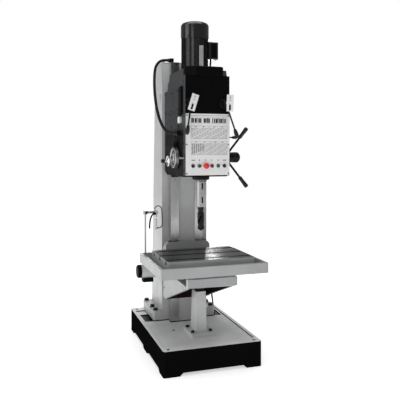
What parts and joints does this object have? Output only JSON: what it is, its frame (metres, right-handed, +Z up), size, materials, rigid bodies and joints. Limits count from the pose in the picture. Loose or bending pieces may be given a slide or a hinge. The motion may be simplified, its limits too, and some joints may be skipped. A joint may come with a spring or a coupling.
{
  "type": "square column drilling machine",
  "caption": "Floor-standing box-column drilling machine: a geared head with feed capstan slides on a ground guide above a slotted lifting table in a coolant tray.",
  "frame": {"origin": "centre of the four foundation bolt holes, on the floor under the base", "axes": "+Z up along the column, +X to the operator's right, +Y to the back of the machine"},
  "size_m": [0.781, 1.14, 2.465],
  "materials": {
    "grey_paint": "semi-gloss light grey machine enamel on cast iron",
    "black_paint": "gloss black machine enamel",
    "slate_paint": "satin dark grey enamel",
    "ground_steel": "ground and oiled steel",
    "dark_steel": "blackened oiled steel",
    "bright_steel": "turned and polished steel",
    "black_plastic": "moulded black phenolic",
    "panel_white": "white printed sheet metal",
    "red_plastic": "gloss red",
    "dark_red_plastic": "gloss dark red",
    "green_plastic": "gloss green",
    "rubber": "matt black rubber hose"
  },
  "bodies": {
    "frame": {"base_casting": "black_paint", "column_casting": "grey_paint", "guide_strips": "ground_steel", "column_cap": "grey_paint", "rear_cover": "grey_paint", "column_bolts": "dark_steel", "screw_housing": "grey_paint", "housing_bolts": "dark_steel", "lift_nut": "dark_steel", "column_gland": "black_plastic", "conduit_glands": "black_paint", "lower_conduit": "rubber"},
    "knee": {"knee_casting": "grey_paint", "knee_keepers": "grey_paint", "coolant_tray": "grey_paint", "table_plate": "ground_steel", "lift_gearbox": "grey_paint", "lift_motor": "grey_paint", "lift_motor_cap": "black_paint", "lift_terminal_box": "black_paint", "coolant_post": "dark_steel", "coolant_tap": "bright_steel", "coolant_hose": "rubber"},
    "lift_screw": {"lift_screw": "dark_steel"},
    "coolant_nozzle": {"coolant_nozzle": "black_plastic"},
    "head": {"head_casting": "slate_paint", "head_keepers": "slate_paint", "side_covers": "slate_paint", "front_housing": "black_paint", "control_panel": "panel_white", "panel_screws": "bright_steel", "button_bezels": "bright_steel", "front_hood": "black_paint", "main_motor": "black_paint", "motor_fan_cover": "black_paint", "motor_terminal_box": "black_paint", "motor_lead": "rubber", "quill_collar": "ground_steel", "gear_index_plates": "panel_white", "capstan_flange": "black_paint", "dial_flange": "bright_steel", "head_gland": "black_plastic", "head_conduit": "rubber"},
    "motor_rotor": {"motor_rotor": "ground_steel"},
    "quill": {"quill": "ground_steel"},
    "spindle": {"spindle": "bright_steel", "twist_drill": "dark_steel"},
    "gear_lever_left": {"gear_lever_left": "dark_steel"},
    "gear_lever_right": {"gear_lever_right": "dark_steel"},
    "capstan": {"capstan": "black_plastic", "capstan_grips": "black_plastic"},
    "depth_dial": {"depth_dial": "bright_steel"},
    "engage_lever": {"engage_lever": "black_plastic"},
    "fine_feed_wheel": {"fine_feed_wheel": "bright_steel"},
    "selector_left": {"selector_left": "black_plastic"},
    "start_button": {"start_button": "green_plastic"},
    "emergency_stop": {"emergency_stop": "red_plastic"},
    "stop_button": {"stop_button": "dark_red_plastic"},
    "tapping_button": {"tapping_button": "green_plastic"},
    "selector_right": {"selector_right": "black_plastic"}
  },
  "joints": [
    {"name": "knee_lift", "type": "slide", "parent": "frame", "child": "knee", "axis": [0, 0, 1], "range_m": [-0.13, 0.15]},
    {"name": "lift_screw_turn", "type": "hinge", "parent": "knee", "child": "lift_screw", "pos_m": [0, -0.21, 0.5], "axis": [0, 0, 1], "range_deg": [-3980, 4600]},
    {"name": "nozzle_swing", "type": "hinge", "parent": "knee", "child": "coolant_nozzle", "pos_m": [-0.263, 0.0897, 1.022], "axis": [0, -1, 0], "range_deg": [-45, 40]},
    {"name": "head_slide", "type": "slide", "parent": "frame", "child": "head", "axis": [0, 0, 1], "range_m": [-0.12, 0.08], "deforming": ["head_conduit"]},
    {"name": "motor_spin", "type": "hinge", "parent": "head", "child": "motor_rotor", "pos_m": [0, -0.115, 2.2], "axis": [0, 0, 1], "continuous": true},
    {"name": "quill_feed", "type": "slide", "parent": "head", "child": "quill", "axis": [0, 0, 1], "range_m": [-0.16, 0]},
    {"name": "spindle_spin", "type": "hinge", "parent": "quill", "child": "spindle", "pos_m": [0, -0.26, 1.2], "axis": [0, 0, 1], "continuous": true},
    {"name": "gear_lever_left_turn", "type": "hinge", "parent": "head", "child": "gear_lever_left", "pos_m": [-0.134, -0.45, 1.84], "axis": [0, 1, 0], "range_deg": [-35, 35]},
    {"name": "gear_lever_right_turn", "type": "hinge", "parent": "head", "child": "gear_lever_right", "pos_m": [0.12, -0.45, 1.84], "axis": [0, 1, 0], "range_deg": [-20, 50]},
    {"name": "capstan_turn", "type": "hinge", "parent": "head", "child": "capstan", "pos_m": [0.2, -0.21, 1.457], "axis": [1, 0, 0], "range_deg": [-1, 307]},
    {"name": "depth_dial_turn", "type": "hinge", "parent": "head", "child": "depth_dial", "pos_m": [-0.18, -0.21, 1.457], "axis": [1, 0, 0], "range_deg": [-1, 307]},
    {"name": "engage_lever_turn", "type": "hinge", "parent": "head", "child": "engage_lever", "pos_m": [0.2, -0.345, 1.603], "axis": [1, 0, 0], "range_deg": [-30, 30]},
    {"name": "fine_feed_turn", "type": "hinge", "parent": "head", "child": "fine_feed_wheel", "pos_m": [-0.2, -0.072, 1.43], "axis": [1, 0, 0], "continuous": true},
    {"name": "selector_left_turn", "type": "hinge", "parent": "head", "child": "selector_left", "pos_m": [-0.109, -0.42, 1.4], "axis": [0, 1, 0], "range_deg": [-45, 45]},
    {"name": "start_button_press", "type": "slide", "parent": "head", "child": "start_button", "axis": [0, 1, 0], "range_m": [0, 0.004], "stiffness_N_per_m": 500},
    {"name": "emergency_stop_press", "type": "slide", "parent": "head", "child": "emergency_stop", "axis": [0, 1, 0], "range_m": [0, 0.006], "stiffness_N_per_m": 500},
    {"name": "stop_button_press", "type": "slide", "parent": "head", "child": "stop_button", "axis": [0, 1, 0], "range_m": [0, 0.004], "stiffness_N_per_m": 500},
    {"name": "tapping_button_press", "type": "slide", "parent": "head", "child": "tapping_button", "axis": [0, 1, 0], "range_m": [0, 0.004], "stiffness_N_per_m": 500},
    {"name": "selector_right_turn", "type": "hinge", "parent": "head", "child": "selector_right", "pos_m": [0.1235, -0.42, 1.4], "axis": [0, 1, 0], "range_deg": [-45, 45]}
  ],
  "couplings": [
    {"joint": "lift_screw_turn", "follows": "knee_lift", "rad_per_m": 523.6},
    {"joint": "capstan_turn", "follows": "quill_feed", "rad_per_m": -33.333},
    {"joint": "depth_dial_turn", "follows": "quill_feed", "rad_per_m": -33.333},
    {"joint": "spindle_spin", "follows": "motor_spin", "ratio": 0.25}
  ]
}
